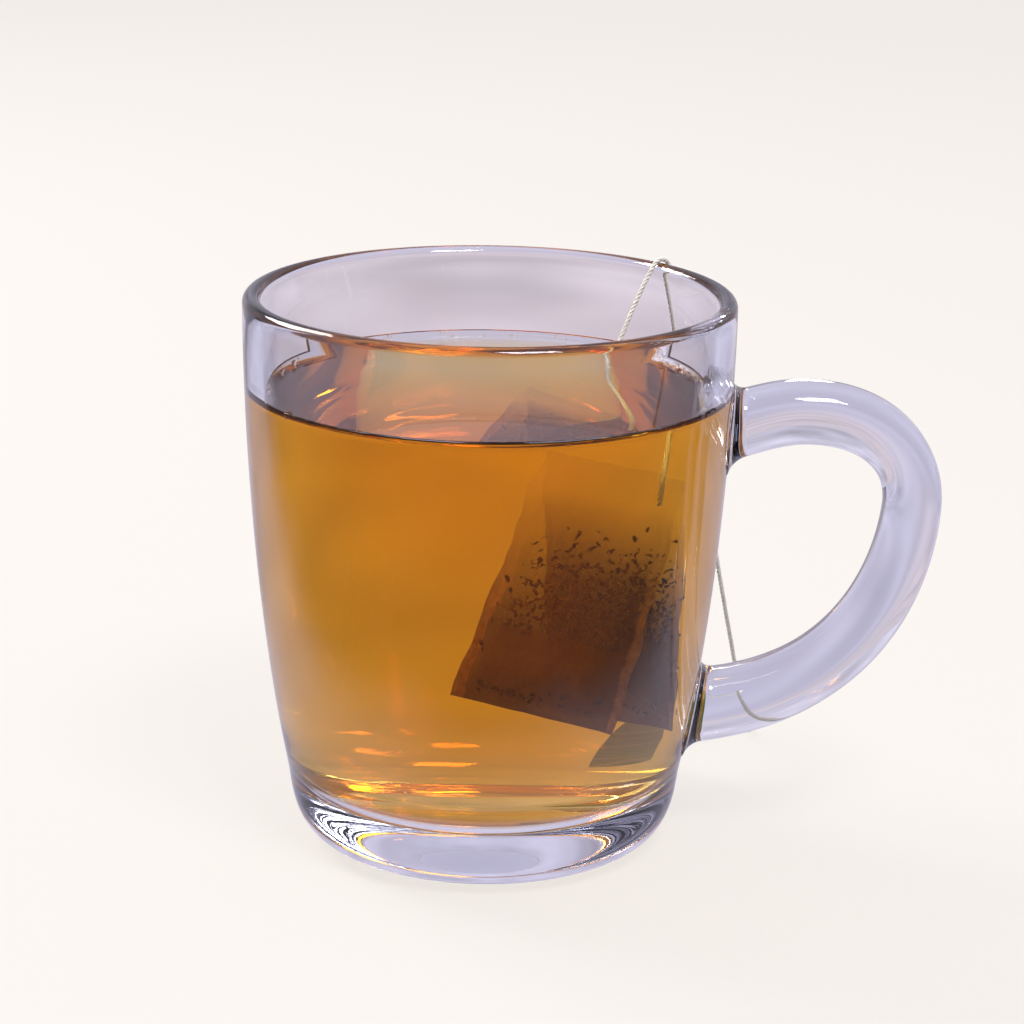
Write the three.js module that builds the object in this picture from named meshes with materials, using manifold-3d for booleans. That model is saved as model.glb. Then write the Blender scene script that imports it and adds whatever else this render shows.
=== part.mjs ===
// Glass mug of tea with the string and the leaf tag of its bag. Millimetres, +Z up.
// Origin at the centre of the flat underside; the handle points along +X.
import * as THREE from "three";
import { mergeVertices } from "three/addons/utils/BufferGeometryUtils.js";
import Module from "manifold-3d";

const wasm = await Module();
wasm.setup();

const turns = 64; // facets round the mug and the tea

const mug = {
  height: 92,
  rimRadius: 40,
  rimWall: 3,
  baseRadius: 24.8,
  heelRadius: 33.1,
  heelHeight: 12,
  heelSlope: 0.2, // outward lean of the wall just above the heel
  heelEase: 7.8,
  heelLift: 3.3,
  wallEase: 25,
  rimEase: 23,
  floor: 9, // thickness of the bottom
  floorRadius: 19,
  innerRadius: 30.6, // where the inner corner meets the wall
  innerHeight: 18,
};

const handle = {
  bury: 1.9, // how deep each end sits in the wall
  topHeight: 69.6,
  topSlope: 0.3,
  crest: [51.8, 72.9],
  outermost: [70.1, 57.9],
  lowHeight: 21.4,
  lowSlope: 0.07,
  thickness: [10.4, 10.1, 9.4, 10.3, 12],
  stations: [0, 0.2, 0.42, 0.76, 1], // where along the handle each thickness is met
  depth: 12,
  fillet: 2.8,
  squareness: 2.7, // 2 is an ellipse, more is boxier
  rings: 52,
  crowding: 0.8, // how much closer the rings stand near the wall
  sides: 20,
};

const tea = {
  level: 76,
  meniscusRise: 1.6,
  meniscusWidth: 3.6,
  gap: 0.3, // clear of the glass
};

const string = {
  diameter: 0.8,
  azimuth: THREE.MathUtils.degToRad(41.3),
  entryRadius: 27.2, // where it leaves the tea
  entryLift: 0.9,
  overRim: 2.6, // radius of its bend over the rim
  slant: [
    [44.6, 79.5],
    [49.9, 57.6],
    [55.1, 35.7],
    [60.9, 14.4],
    [62.7, 7.6],
    [63.9, 2.8], [64.6, 1.0],
  ], // radius and height down the outside
  landing: 65.2,
  lie: 0.55, // height of its middle on the table
  turnRadius: 1.8, // turns back toward the tag
  footGap: 2.5, // clear of the tag where it rises to the hole
};

const tag = {
  tip: [7.05, 37.6, 2.3],
  azimuth: THREE.MathUtils.degToRad(68), // side of the mug that it leans on
  lean: THREE.MathUtils.degToRad(88),
  rise: THREE.MathUtils.degToRad(38), // stem end above the tip
  length: 32,
  width: 22,
  thickness: 0.5,
  hole: 1.3,
  holeInset: 4.5,
};

function curvePoints(p0, c1, c2, p3, steps) {
  const v = (p) => new THREE.Vector2(p[0], p[1]);
  return new THREE.CubicBezierCurve(v(p0), v(c1), v(c2), v(p3)).getPoints(steps);
}

// Outer side from the middle of the underside to the start of the rim.
function outerProfile(heelSteps, wallSteps) {
  const m = mug;
  const top = m.height - m.rimWall / 2;
  const heel = curvePoints(
    [m.baseRadius, 0],
    [m.baseRadius + m.heelEase, 0],
    [m.heelRadius - m.heelSlope * m.heelLift, m.heelHeight - m.heelLift],
    [m.heelRadius, m.heelHeight],
    heelSteps,
  );
  const wall = curvePoints(
    [m.heelRadius, m.heelHeight],
    [m.heelRadius + m.heelSlope * m.wallEase, m.heelHeight + m.wallEase],
    [m.rimRadius, top - m.rimEase],
    [m.rimRadius, top],
    wallSteps,
  );
  return [new THREE.Vector2(0, 0), ...heel, ...wall.slice(1)];
}

// Inner side from the middle of the floor up to the rim.
function innerProfile(cornerSteps, wallSteps) {
  const m = mug;
  const top = m.height - m.rimWall / 2;
  const inner = m.rimRadius - m.rimWall;
  const corner = curvePoints(
    [m.floorRadius, m.floor],
    [m.floorRadius + 6.5, m.floor],
    [m.innerRadius - 1.4, m.innerHeight - 6.5],
    [m.innerRadius, m.innerHeight],
    cornerSteps,
  );
  const wall = curvePoints(
    [m.innerRadius, m.innerHeight],
    [m.innerRadius + 3.4, m.innerHeight + 16],
    [inner, top - m.rimEase],
    [inner, top],
    wallSteps,
  );
  return [new THREE.Vector2(0, m.floor), ...corner, ...wall.slice(1)];
}

function rimProfile(steps) {
  const radius = mug.rimWall / 2;
  const points = [];
  for (let i = 1; i < steps; i += 1) {
    const angle = (Math.PI * i) / steps;
    points.push(
      new THREE.Vector2(
        mug.rimRadius - radius + radius * Math.cos(angle),
        mug.height - radius + radius * Math.sin(angle),
      ),
    );
  }
  return points;
}

function turned(profile) {
  const geometry = new THREE.LatheGeometry(profile, turns).rotateX(Math.PI / 2);
  geometry.deleteAttribute("uv");
  geometry.deleteAttribute("normal");
  return mergeVertices(geometry, 1e-3);
}

function solidOf(geometry) {
  const welded = mergeVertices(geometry, 1e-3);
  return new wasm.Manifold(
    new wasm.Mesh({
      numProp: 3,
      vertProperties: new Float32Array(welded.attributes.position.array),
      triVerts: new Uint32Array(welded.index.array),
    }),
  );
}

function geometryOf(solid) {
  const mesh = solid.getMesh();
  const geometry = new THREE.BufferGeometry();
  geometry.setAttribute("position", new THREE.BufferAttribute(mesh.vertProperties, 3));
  geometry.setIndex(new THREE.BufferAttribute(mesh.triVerts, 1));
  return geometry;
}

const outerWall = outerProfile(10, 14);

// Radius of the outer wall at a height.
function radiusAt(height) {
  const i = outerWall.findIndex((p) => p.x > mug.baseRadius && p.y >= height);
  const [low, high] = [outerWall[i - 1], outerWall[i]];
  return low.x + ((high.x - low.x) * (height - low.y)) / (high.y - low.y);
}

function mugBody() {
  const inside = innerProfile(8, 10).reverse();
  return solidOf(turned([...outerWall, ...rimProfile(6), ...inside]));
}

// Centreline of the handle in the XZ plane: root, crest, outermost point, lower root.
function handleLine() {
  const h = handle;
  const v = (x, z) => new THREE.Vector3(x, 0, z);
  const topX = radiusAt(h.topHeight) - h.bury;
  const lowX = radiusAt(h.lowHeight) - h.bury;
  const line = new THREE.CurvePath();
  line.add(
    new THREE.CubicBezierCurve3(
      v(topX, h.topHeight),
      v(topX + 5, h.topHeight + 5 * h.topSlope),
      v(h.crest[0] - 4.5, h.crest[1]),
      v(...h.crest),
    ),
  );
  line.add(
    new THREE.CubicBezierCurve3(
      v(...h.crest),
      v(h.crest[0] + 12.7, h.crest[1]),
      v(h.outermost[0], h.outermost[1] + 7.4),
      v(...h.outermost),
    ),
  );
  line.add(
    new THREE.CubicBezierCurve3(
      v(...h.outermost),
      v(h.outermost[0], h.outermost[1] - 2.5),
      v(lowX + 36.1, h.lowHeight + 36.1 * h.lowSlope),
      v(lowX, h.lowHeight),
    ),
  );
  return line;
}

function thicknessAt(along) {
  const { stations, thickness } = handle;
  const i = Math.max(1, stations.findIndex((s) => s >= along));
  const t = (along - stations[i - 1]) / (stations[i] - stations[i - 1]);
  return THREE.MathUtils.lerp(thickness[i - 1], thickness[i], t);
}

function superellipse(angle, half, power) {
  const c = Math.cos(angle);
  return Math.sign(c) * half * Math.abs(c) ** (2 / power);
}

// Rings of a rounded section along the centreline. Near the wall each ring turns to lie along it
// and swells by the fillet, so the handle grows out of the body.
function handleBar() {
  const h = handle;
  const line = handleLine();
  const positions = [];
  for (let i = 0; i <= h.rings; i += 1) {
    const even = i / h.rings;
    const along = even - (h.crowding * Math.sin(2 * Math.PI * even)) / (2 * Math.PI);
    const centre = line.getPointAt(along);
    const heading = line.getTangentAt(along);
    const nearWall = 1 - THREE.MathUtils.smoothstep(centre.x - radiusAt(centre.z), 0, 7);
    const across = new THREE.Vector3(-heading.z, 0, heading.x);
    const lean = (radiusAt(centre.z + 1) - radiusAt(centre.z - 1)) / 2;
    const wallway = new THREE.Vector3(lean, 0, 1).normalize();
    if (wallway.dot(across) < 0) wallway.negate();
    const side = across.clone().lerp(wallway, nearWall).normalize();
    const halfThick = thicknessAt(along) / 2 / side.dot(across);
    for (let k = 0; k < h.sides; k += 1) {
      const angle = (2 * Math.PI * (k + 0.5)) / h.sides;
      const up = superellipse(angle, halfThick, h.squareness);
      const deep = superellipse(angle - Math.PI / 2, h.depth / 2, h.squareness);
      const point = new THREE.Vector3(side.x * up, deep, side.z * up);
      const away = point.length();
      point.add(centre);
      const clear = Math.max(0, Math.hypot(point.x, point.y) - radiusAt(point.z));
      const reach = 0.92 * Math.max(0, h.fillet - clear);
      const swell = h.fillet - Math.sqrt(h.fillet ** 2 - reach ** 2);
      point.sub(centre).multiplyScalar(1 + swell / away).add(centre);
      positions.push(...point.toArray());
    }
  }
  const index = [];
  for (let i = 0; i < h.rings; i += 1) {
    for (let k = 0; k < h.sides; k += 1) {
      const next = (k + 1) % h.sides;
      const [a, b] = [i * h.sides + k, i * h.sides + next];
      index.push(a, a + h.sides, b, b, a + h.sides, b + h.sides);
    }
  }
  const last = h.rings * h.sides;
  for (let k = 1; k < h.sides - 1; k += 1) {
    index.push(0, k, k + 1);
    index.push(last, last + k + 1, last + k);
  }
  const geometry = new THREE.BufferGeometry();
  geometry.setAttribute("position", new THREE.Float32BufferAttribute(positions, 3));
  geometry.setIndex(index);
  return solidOf(geometry);
}

// Tea up to its level, climbing the wall a little at the edge.
function teaProfile() {
  const contact = tea.level + tea.meniscusRise;
  const below = innerProfile(7, 9).filter((p) => p.y < contact - 1);
  const points = below.map(
    (p) => new THREE.Vector2(Math.max(0, p.x - tea.gap), p.y + (p.y < mug.innerHeight ? tea.gap : 0)),
  );
  const edge = mug.rimRadius - mug.rimWall - 0.35 - tea.gap;
  const steps = 4;
  for (let i = 0; i <= steps; i += 1) {
    const inward = i / steps;
    points.push(
      new THREE.Vector2(
        edge - tea.meniscusWidth * inward,
        tea.level + tea.meniscusRise * (1 - inward) ** 2.5,
      ),
    );
  }
  points.push(new THREE.Vector2(0, tea.level));
  return points;
}

// The tag's frame: along from stem to tip, across, out of its face, and where the stem is.
function tagFrame() {
  const side = new THREE.Vector3(Math.sin(tag.azimuth), -Math.cos(tag.azimuth), 0);
  const away = new THREE.Vector3(Math.cos(tag.azimuth), Math.sin(tag.azimuth), 0);
  const up = away.clone().multiplyScalar(-Math.cos(tag.lean)).setZ(Math.sin(tag.lean));
  const along = side.clone().multiplyScalar(-Math.cos(tag.rise)).addScaledVector(up, -Math.sin(tag.rise));
  const across = up.clone().multiplyScalar(Math.cos(tag.rise)).addScaledVector(side, -Math.sin(tag.rise));
  const face = along.clone().cross(across);
  const stem = new THREE.Vector3(...tag.tip).addScaledVector(along, -tag.length);
  return { along, across, face, away, stem };
}

// Way of the string: out of the tea, over the rim, down to the table and back to the tag.
function stringRoute() {
  const s = string;
  const out = new THREE.Vector3(Math.cos(s.azimuth), Math.sin(s.azimuth), 0);
  const place = (radius, height) => out.clone().multiplyScalar(radius).setZ(height);
  const rimMiddle = mug.rimRadius - mug.rimWall / 2;
  const rimHeight = mug.height - mug.rimWall / 2;
  const points = [place(s.entryRadius, tea.level + s.entryLift)];
  points.push(place(s.entryRadius + 4.6, tea.level + s.entryLift + 7.4));
  for (let degrees = 146; degrees >= 19; degrees -= 25.4) {
    const angle = THREE.MathUtils.degToRad(degrees);
    points.push(
      place(rimMiddle + s.overRim * Math.cos(angle), rimHeight + s.overRim * Math.sin(angle)),
    );
  }
  s.slant.forEach(([radius, height]) => points.push(place(radius, height)));
  const touch = place(s.landing, s.lie);
  const left = new THREE.Vector3(-out.y, out.x, 0);
  const middle = touch.clone().addScaledVector(left, s.turnRadius);
  for (let degrees = 0; degrees <= 150; degrees += 30) {
    const angle = s.azimuth - Math.PI / 2 + THREE.MathUtils.degToRad(degrees);
    points.push(
      new THREE.Vector3(Math.cos(angle), Math.sin(angle), 0).multiplyScalar(s.turnRadius).add(middle),
    );
  }
  const { along, face, away, stem } = tagFrame();
  const eye = stem
    .addScaledVector(along, tag.holeInset)
    .addScaledVector(face, tag.thickness + s.diameter / 2 + 0.3);
  const foot = eye
    .clone()
    .addScaledVector(away, eye.z / Math.tan(tag.lean) + s.footGap)
    .setZ(s.lie);
  points.push(points[points.length - 1].clone().lerp(foot, 0.5));
  points.push(foot);
  points.push(eye);
  const route = new THREE.CatmullRomCurve3(points, false, "centripetal").getSpacedPoints(160);
  route.forEach((spot) => spot.setZ(Math.max(spot.z, s.lie))); // none of it under the table
  return new THREE.CatmullRomCurve3(route, false, "centripetal");
}

function stringTube() {
  const ring = new THREE.Shape();
  ring.absarc(0, 0, string.diameter / 2, 0, 2 * Math.PI);
  return new THREE.ExtrudeGeometry(ring, {
    steps: 80,
    curveSegments: 4, // eight sides
    extrudePath: stringRoute(),
  });
}

// Leaf outline with a rounded stem end and a pointed tip.
function leafTag() {
  const half = tag.width / 2;
  const leaf = new THREE.Shape();
  leaf.moveTo(0, -2.2);
  leaf.bezierCurveTo(4, -half * 0.95, tag.length * 0.42, -half * 1.35, tag.length, 0);
  leaf.bezierCurveTo(tag.length * 0.42, half * 1.35, 4, half * 0.95, 0, 2.2);
  leaf.closePath();
  const hole = new THREE.Path();
  hole.absarc(tag.holeInset, 0, tag.hole, 0, 2 * Math.PI, true);
  leaf.holes.push(hole);
  return new THREE.ExtrudeGeometry(leaf, {
    depth: tag.thickness,
    curveSegments: 14,
    bevelEnabled: false,
  });
}

function piece(name, geometry, colour, roughness, extra = {}) {
  const material = new THREE.MeshStandardMaterial({ color: colour, roughness, metalness: 0, ...extra });
  const mesh = new THREE.Mesh(geometry, material);
  mesh.name = name;
  return mesh;
}

const group = new THREE.Group();
group.name = "cup_of_tea";

const glass = geometryOf(mugBody().add(handleBar()));
group.add(piece("glass_mug", glass, "#cfcbdc", 0.04, { transparent: true, opacity: 0.35 }));
group.add(piece("tea", turned(teaProfile()), "#b87420", 0.06));
group.add(piece("tea_string", stringTube(), "#e9e2d3", 0.85));

const leaf = piece("tea_tag", leafTag(), "#5f7a2c", 0.6);
const { along, across, face, stem } = tagFrame();
leaf.position.copy(stem);
leaf.quaternion.setFromRotationMatrix(new THREE.Matrix4().makeBasis(along, across, face));
group.add(leaf);

export default group;
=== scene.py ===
import math

import bmesh
import bpy
from mathutils import Matrix, Vector, noise


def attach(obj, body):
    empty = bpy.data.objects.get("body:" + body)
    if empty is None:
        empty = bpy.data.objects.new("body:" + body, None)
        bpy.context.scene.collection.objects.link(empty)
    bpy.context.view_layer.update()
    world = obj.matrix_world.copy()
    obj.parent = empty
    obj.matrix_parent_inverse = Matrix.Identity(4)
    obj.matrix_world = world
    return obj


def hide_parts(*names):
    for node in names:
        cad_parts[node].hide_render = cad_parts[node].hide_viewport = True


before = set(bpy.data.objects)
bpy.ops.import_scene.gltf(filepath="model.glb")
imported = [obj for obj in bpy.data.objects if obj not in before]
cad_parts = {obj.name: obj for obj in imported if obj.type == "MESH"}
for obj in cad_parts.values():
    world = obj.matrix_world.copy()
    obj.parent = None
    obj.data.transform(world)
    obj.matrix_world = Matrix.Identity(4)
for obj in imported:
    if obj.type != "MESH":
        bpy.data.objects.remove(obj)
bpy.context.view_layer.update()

scene = bpy.context.scene
mm = 0.001


# small helpers used by every piece
def addPiece(name, mesh):
    piece = bpy.data.objects.new(name, mesh)
    scene.collection.objects.link(piece)
    return piece


def meshFrom(name, points, faces, edges=()):
    mesh = bpy.data.meshes.new(name)
    mesh.from_pydata([tuple(point) for point in points], list(edges), list(faces))
    mesh.update()
    return mesh


def polyline(name, points):
    return meshFrom(name, points, [], [(i, i + 1) for i in range(len(points) - 1)])


def ballMesh(name, radius, subdivisions):
    mesh = bpy.data.meshes.new(name)
    shape = bmesh.new()
    bmesh.ops.create_icosphere(shape, subdivisions=subdivisions, radius=radius)
    shape.to_mesh(mesh)
    shape.free()
    return mesh


def combined(name, first, second, operation, finish, smooth):
    join = first.modifiers.new("join", "BOOLEAN")
    join.operation = operation
    join.solver = "EXACT"
    join.object = second
    graph = bpy.context.evaluated_depsgraph_get()
    mesh = bpy.data.meshes.new_from_object(first.evaluated_get(graph), depsgraph=graph)
    mesh.name = name
    mesh.materials.clear()
    mesh.materials.append(finish)
    mesh.polygons.foreach_set("use_smooth", [smooth] * len(mesh.polygons))
    mesh.polygons.foreach_set("material_index", [0] * len(mesh.polygons))
    bpy.data.objects.remove(second)
    bpy.data.objects.remove(first)
    return addPiece(name, mesh)


def bezier(start, pullStart, pullEnd, end, steps):
    a, b, c, d = (Vector(p) for p in (start, pullStart, pullEnd, end))
    curve = []
    for i in range(steps + 1):
        t = i / steps
        s = 1 - t
        curve.append(a * s ** 3 + b * 3 * s * s * t + c * 3 * s * t * t + d * t ** 3)
    return curve


def smoothRoute(points, step):
    # centripetal Catmull-Rom through the points, about one point per step
    ends = [points[0] * 2 - points[1], *points, points[-1] * 2 - points[-2]]
    route = []
    for p0, p1, p2, p3 in zip(ends, ends[1:], ends[2:], ends[3:]):
        t1 = (p1 - p0).length ** 0.5
        t2 = t1 + (p2 - p1).length ** 0.5
        t3 = t2 + (p3 - p2).length ** 0.5
        count = max(2, round((p2 - p1).length / step))
        for i in range(count):
            t = t1 + (t2 - t1) * i / count
            a1 = p0.lerp(p1, t / t1)
            a2 = p1.lerp(p2, (t - t1) / (t2 - t1))
            a3 = p2.lerp(p3, (t - t2) / (t3 - t2))
            b1 = a1.lerp(a2, t / t2)
            b2 = a2.lerp(a3, (t - t1) / (t3 - t1))
            route.append(b1.lerp(b2, (t - t1) / (t2 - t1)))
    return [*route, points[-1].copy()]


def routeLength(route):
    return sum((b - a).length for a, b in zip(route, route[1:]))


# camera first, from the photo's perspective
cameraSet = {
    "place": (0.0, -0.450, 0.18917),
    "pitch": 16.603,  # degrees below level
    "yaw": 0.521,
    "roll": 0.990,
    "lens": 99.9,
}


def makeCamera():
    pitch, yaw, roll = (math.radians(cameraSet[key]) for key in ("pitch", "yaw", "roll"))
    ahead = Vector((math.sin(yaw) * math.cos(pitch), math.cos(yaw) * math.cos(pitch), -math.sin(pitch)))
    right = ahead.cross(Vector((0, 0, 1))).normalized()
    up = right.cross(ahead)
    tiltedRight = right * math.cos(roll) + up * math.sin(roll)
    tiltedUp = up * math.cos(roll) - right * math.sin(roll)
    data = bpy.data.cameras.new("photoCamera")
    data.lens = cameraSet["lens"]
    data.sensor_width = 36
    data.clip_start = 0.01
    camera = addPiece("photoCamera", data)
    turn = Matrix((tiltedRight, tiltedUp, -ahead)).transposed().to_4x4()
    turn.translation = cameraSet["place"]
    camera.matrix_world = turn
    scene.camera = camera


makeCamera()
print("camera set")


# node helpers
def addNode(tree, kind, **settings):
    node = tree.nodes.new(kind)
    for key, value in settings.items():
        setattr(node, key, value)
    return node


def feed(tree, socket, value):
    if isinstance(value, bpy.types.NodeSocket):
        tree.links.new(value, socket)
    else:
        socket.default_value = value


def calc(tree, operation, first, second=0.0):
    node = addNode(tree, "ShaderNodeMath", operation=operation)
    feed(tree, node.inputs[0], first)
    feed(tree, node.inputs[1], second)
    return node.outputs[0]


def vecCalc(tree, operation, first, second=None, scale=None):
    node = addNode(tree, "ShaderNodeVectorMath", operation=operation)
    feed(tree, node.inputs[0], first)
    if second is not None:
        feed(tree, node.inputs[1], second)
    if scale is not None:
        feed(tree, node.inputs["Scale"], scale)
    return node.outputs[0]


def newTree(name, inputs):
    tree = bpy.data.node_groups.new(name, "GeometryNodeTree")
    tree.interface.new_socket("Geometry", in_out="INPUT", socket_type="NodeSocketGeometry")
    for label, kind in inputs:
        tree.interface.new_socket(label, in_out="INPUT", socket_type="NodeSocket" + kind)
    tree.interface.new_socket("Geometry", in_out="OUTPUT", socket_type="NodeSocketGeometry")
    return tree, addNode(tree, "NodeGroupInput").outputs


def closeTree(tree, geometry, finish, smooth=True):
    if smooth:
        shade = addNode(tree, "GeometryNodeSetShadeSmooth")
        tree.links.new(geometry, shade.inputs["Geometry"])
        geometry = shade.outputs[0]
    realize = addNode(tree, "GeometryNodeRealizeInstances")
    paint = addNode(tree, "GeometryNodeSetMaterial")
    end = addNode(tree, "NodeGroupOutput")
    tree.links.new(geometry, realize.inputs[0])
    tree.links.new(realize.outputs[0], paint.inputs["Geometry"])
    tree.links.new(finish, paint.inputs["Material"])
    tree.links.new(paint.outputs[0], end.inputs[0])


def runTree(name, source, tree, values):
    # the tree's result as a plain mesh on a new object
    holder = addPiece(name + "Holder", source)
    modifier = holder.modifiers.new("nodes", "NODES")
    modifier.node_group = tree
    for item in tree.interface.items_tree:
        if item.in_out == "INPUT" and item.name in values:
            modifier[item.identifier] = values[item.name]
    graph = bpy.context.evaluated_depsgraph_get()
    mesh = bpy.data.meshes.new_from_object(holder.evaluated_get(graph), depsgraph=graph)
    mesh.name = name
    bpy.data.objects.remove(holder)
    return addPiece(name, mesh)


def turnedTree():
    # a profile of radius and height turned about Z, one grid column per step round
    tree, given = newTree("turnedProfile", [("Segments", "Int"), ("Points", "Int"), ("Finish", "Material")])
    grid = addNode(tree, "GeometryNodeMeshGrid")
    feed(tree, grid.inputs["Vertices X"], calc(tree, "ADD", given["Segments"], 1.0))
    feed(tree, grid.inputs["Vertices Y"], given["Points"])
    index = addNode(tree, "GeometryNodeInputIndex").outputs[0]
    row = calc(tree, "MODULO", index, given["Points"])
    column = calc(tree, "FLOOR", calc(tree, "DIVIDE", calc(tree, "ADD", index, 0.5), given["Points"]))
    pick = addNode(tree, "GeometryNodeSampleIndex", data_type="FLOAT_VECTOR", domain="POINT")
    feed(tree, pick.inputs["Geometry"], given["Geometry"])
    feed(tree, pick.inputs["Value"], addNode(tree, "GeometryNodeInputPosition").outputs[0])
    feed(tree, pick.inputs["Index"], row)
    parts = addNode(tree, "ShaderNodeSeparateXYZ")
    feed(tree, parts.inputs[0], pick.outputs[0])
    angle = calc(tree, "MULTIPLY", calc(tree, "DIVIDE", column, given["Segments"]), 2 * math.pi)
    spot = addNode(tree, "ShaderNodeCombineXYZ")
    feed(tree, spot.inputs["X"], calc(tree, "MULTIPLY", parts.outputs["X"], calc(tree, "COSINE", angle)))
    feed(tree, spot.inputs["Y"], calc(tree, "MULTIPLY", parts.outputs["X"], calc(tree, "SINE", angle)))
    feed(tree, spot.inputs["Z"], parts.outputs["Z"])
    move = addNode(tree, "GeometryNodeSetPosition")
    feed(tree, move.inputs["Geometry"], grid.outputs["Mesh"])
    feed(tree, move.inputs["Position"], spot.outputs[0])
    weld = addNode(tree, "GeometryNodeMergeByDistance")
    feed(tree, weld.inputs["Geometry"], move.outputs[0])
    weld.inputs["Distance"].default_value = 1e-6
    closeTree(tree, weld.outputs[0], given["Finish"])
    return tree


def twistTree(plies):
    # strands laid in a helix about the path
    tree, given = newTree("twistedString", [
        ("Strand radius", "Float"), ("Spread", "Float"), ("Lay", "Float"),
        ("Step", "Float"), ("Sides", "Int"),
        ("Finish", "Material"),
    ])
    line = addNode(tree, "GeometryNodeMeshToCurve")
    feed(tree, line.inputs["Mesh"], given["Geometry"])
    even = addNode(tree, "GeometryNodeResampleCurve", mode="LENGTH")
    feed(tree, even.inputs["Curve"], line.outputs[0])
    feed(tree, even.inputs["Length"], given["Step"])
    along = addNode(tree, "GeometryNodeSplineParameter").outputs["Length"]
    normal = addNode(tree, "GeometryNodeInputNormal").outputs[0]
    tangent = addNode(tree, "GeometryNodeInputTangent").outputs[0]
    side = vecCalc(tree, "CROSS_PRODUCT", tangent, normal)
    ring = addNode(tree, "GeometryNodeCurvePrimitiveCircle")
    feed(tree, ring.inputs["Resolution"], given["Sides"])
    feed(tree, ring.inputs["Radius"], given["Strand radius"])
    joined = addNode(tree, "GeometryNodeJoinGeometry")
    turn = calc(tree, "MULTIPLY", calc(tree, "DIVIDE", along, given["Lay"]), 2 * math.pi)
    for ply in range(plies):
        angle = calc(tree, "ADD", turn, 2 * math.pi * ply / plies)
        reach = calc(tree, "MULTIPLY", calc(tree, "COSINE", angle), given["Spread"])
        out = vecCalc(tree, "SCALE", normal, scale=reach)
        swing = calc(tree, "MULTIPLY", calc(tree, "SINE", angle), given["Spread"])
        over = vecCalc(tree, "SCALE", side, scale=swing)
        shift = addNode(tree, "GeometryNodeSetPosition")
        feed(tree, shift.inputs["Geometry"], even.outputs[0])
        feed(tree, shift.inputs["Offset"], vecCalc(tree, "ADD", out, over))
        tube = addNode(tree, "GeometryNodeCurveToMesh")
        feed(tree, tube.inputs["Curve"], shift.outputs[0])
        feed(tree, tube.inputs["Profile Curve"], ring.outputs[0])
        tube.inputs["Fill Caps"].default_value = True
        tree.links.new(tube.outputs[0], joined.inputs[0])
    closeTree(tree, joined.outputs[0], given["Finish"])
    return tree


def scatterTree():
    # copies of a small shape strewn over a surface, turned and sized at random
    tree, given = newTree("strewnBits", [
        ("Bit", "Object"), ("Density", "Float"), ("Full below", "Float"), ("None above", "Float"),
        ("Spread", "Float"),
        ("Smallest", "Float"), ("Largest", "Float"), ("Seed", "Int"), ("Finish", "Material"),
    ])
    strew = addNode(tree, "GeometryNodeDistributePointsOnFaces", distribute_method="RANDOM")
    feed(tree, strew.inputs["Mesh"], given["Geometry"])
    height = addNode(tree, "ShaderNodeSeparateXYZ")
    feed(tree, height.inputs[0], addNode(tree, "GeometryNodeInputPosition").outputs[0])
    thin = addNode(tree, "ShaderNodeMapRange")
    feed(tree, thin.inputs["Value"], height.outputs["Z"])
    feed(tree, thin.inputs["From Min"], given["None above"])
    feed(tree, thin.inputs["From Max"], given["Full below"])
    feed(tree, strew.inputs["Density"], calc(tree, "MULTIPLY", given["Density"], thin.outputs["Result"]))
    feed(tree, strew.inputs["Seed"], given["Seed"])
    lift = addNode(tree, "FunctionNodeRandomValue", data_type="FLOAT")
    feed(tree, lift.inputs[2], calc(tree, "MULTIPLY", given["Spread"], -1.0))
    feed(tree, lift.inputs[3], given["Spread"])
    feed(tree, lift.inputs["Seed"], given["Seed"])
    shift = addNode(tree, "GeometryNodeSetPosition")
    feed(tree, shift.inputs["Geometry"], strew.outputs["Points"])
    offset = vecCalc(tree, "SCALE", strew.outputs["Normal"], scale=lift.outputs[1])
    feed(tree, shift.inputs["Offset"], offset)
    spin = addNode(tree, "FunctionNodeRandomValue", data_type="FLOAT_VECTOR")
    spin.inputs[1].default_value = (2 * math.pi,) * 3
    feed(tree, spin.inputs["Seed"], calc(tree, "ADD", given["Seed"], 7.0))
    grow = addNode(tree, "FunctionNodeRandomValue", data_type="FLOAT")
    feed(tree, grow.inputs[2], given["Smallest"])
    feed(tree, grow.inputs[3], given["Largest"])
    feed(tree, grow.inputs["Seed"], calc(tree, "ADD", given["Seed"], 19.0))
    bit = addNode(tree, "GeometryNodeObjectInfo")
    feed(tree, bit.inputs["Object"], given["Bit"])
    copies = addNode(tree, "GeometryNodeInstanceOnPoints")
    feed(tree, copies.inputs["Points"], shift.outputs[0])
    feed(tree, copies.inputs["Instance"], bit.outputs["Geometry"])
    feed(tree, copies.inputs["Rotation"], spin.outputs[0])
    feed(tree, copies.inputs["Scale"], grow.outputs[1])
    closeTree(tree, copies.outputs[0], given["Finish"])
    return tree


# materials
def newMaterial(name):
    material = bpy.data.materials.new(name)
    material.use_nodes = True
    tree = material.node_tree
    return material, tree, tree.nodes["Principled BSDF"], tree.nodes["Material Output"]


def objectCoords(tree):
    return addNode(tree, "ShaderNodeTexCoord").outputs["Object"]


def noiseOf(tree, scale, detail=3.0, coords=None):
    grain = addNode(tree, "ShaderNodeTexNoise")
    grain.inputs["Scale"].default_value = scale
    grain.inputs["Detail"].default_value = detail
    feed(tree, grain.inputs["Vector"], coords or objectCoords(tree))
    return grain.outputs["Fac"]


def ramp(tree, factor, stops):
    node = addNode(tree, "ShaderNodeValToRGB")
    band = node.color_ramp
    while len(band.elements) < len(stops):
        band.elements.new(0.5)
    for element, (place, colour) in zip(band.elements, stops):
        element.position = place
        element.color = (*colour, 1)
    feed(tree, node.inputs["Fac"], factor)
    return node.outputs["Color"]


def scaled(tree, factor, low, high):
    node = addNode(tree, "ShaderNodeMapRange")
    feed(tree, node.inputs["Value"], factor)
    node.inputs["To Min"].default_value = low
    node.inputs["To Max"].default_value = high
    return node.outputs["Result"]


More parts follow.
